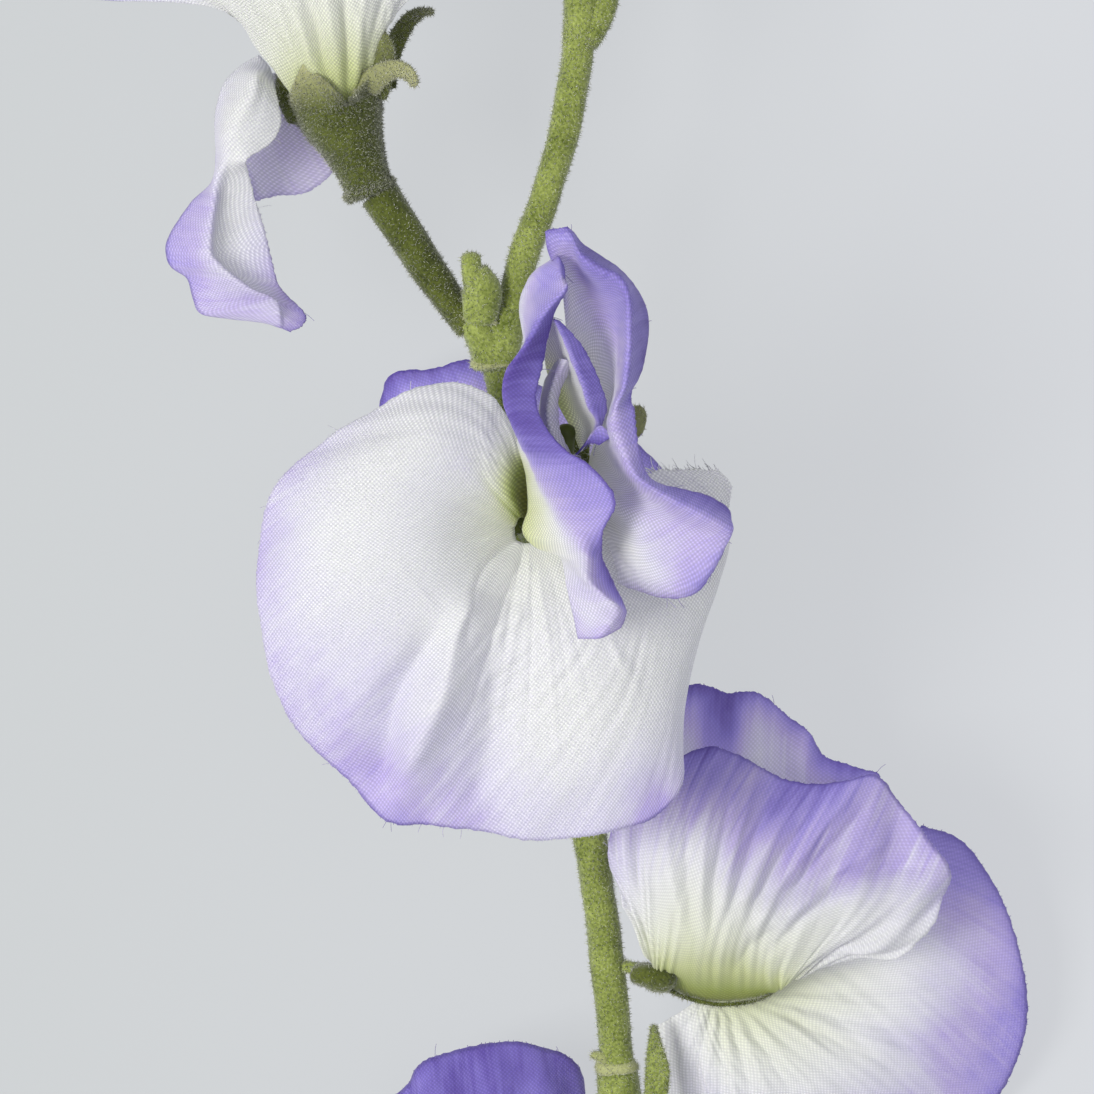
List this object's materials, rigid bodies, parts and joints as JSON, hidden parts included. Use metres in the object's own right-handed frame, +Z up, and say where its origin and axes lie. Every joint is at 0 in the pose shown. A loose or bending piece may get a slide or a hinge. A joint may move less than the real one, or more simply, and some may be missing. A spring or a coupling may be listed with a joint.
{
  "type": "sweet pea flower spray",
  "caption": "Cut artificial sweet pea stem lying down: woven-fabric banner, wing and keel petals, white to lilac with violet edges, on a flocked olive stem",
  "frame": {"origin": "middle of the footprint, on the surface that the spray lies on", "axes": "+Z up, away from the surface; +Y along the stem from its cut end towards the tip bud; +X to the right of the stem seen from above"},
  "size_m": [0.1024, 0.1772, 0.0585],
  "materials": {
    "petal_white": "fine plain weave, white dyed to lilac and violet towards the edge, green at the base",
    "petal_lilac": "fine plain weave, lilac with white near the base",
    "petal_violet": "fine plain weave, deep violet towards the edge",
    "flocked_green": "moulded plastic covered in short pale green flocking",
    "moulded_green": "bare moulded plastic, dark olive"
  },
  "bodies": {
    "root": {"stem_tail": "flocked_green", "lower_node": "flocked_green", "stem_main": "flocked_green", "fork_node": "flocked_green", "bud_stub": "flocked_green", "left_branch": "flocked_green", "upper_stem": "flocked_green", "top_node": "flocked_green", "tip_stalk": "flocked_green", "tip_calyx": "flocked_green", "bract": "flocked_green", "front_pedicel": "flocked_green", "front_calyx": "flocked_green", "upper_calyx": "flocked_green", "side_pedicel": "flocked_green", "side_calyx": "flocked_green", "lower_pedicel": "flocked_green", "lower_calyx": "flocked_green", "under_pedicel": "flocked_green", "under_calyx": "flocked_green", "front_receptacle": "moulded_green", "front_banner": "petal_white", "upper_banner": "petal_white", "upper_wing_left": "petal_white", "side_banner": "petal_white", "front_wing_left": "petal_lilac", "front_wing_right": "petal_lilac", "front_keel_left": "petal_lilac", "upper_wing_right": "petal_lilac", "upper_keel": "petal_lilac", "side_wing_upper": "petal_lilac", "side_keel": "petal_lilac", "lower_keel": "petal_lilac", "under_keel": "petal_lilac", "tip_petals": "petal_lilac", "front_keel_right": "petal_violet", "side_wing_back": "petal_violet", "lower_banner": "petal_violet", "lower_wing_left": "petal_violet", "lower_wing_right": "petal_violet", "under_banner": "petal_violet", "under_wing_left": "petal_violet", "under_wing_right": "petal_violet"}
  },
  "joints": []
}
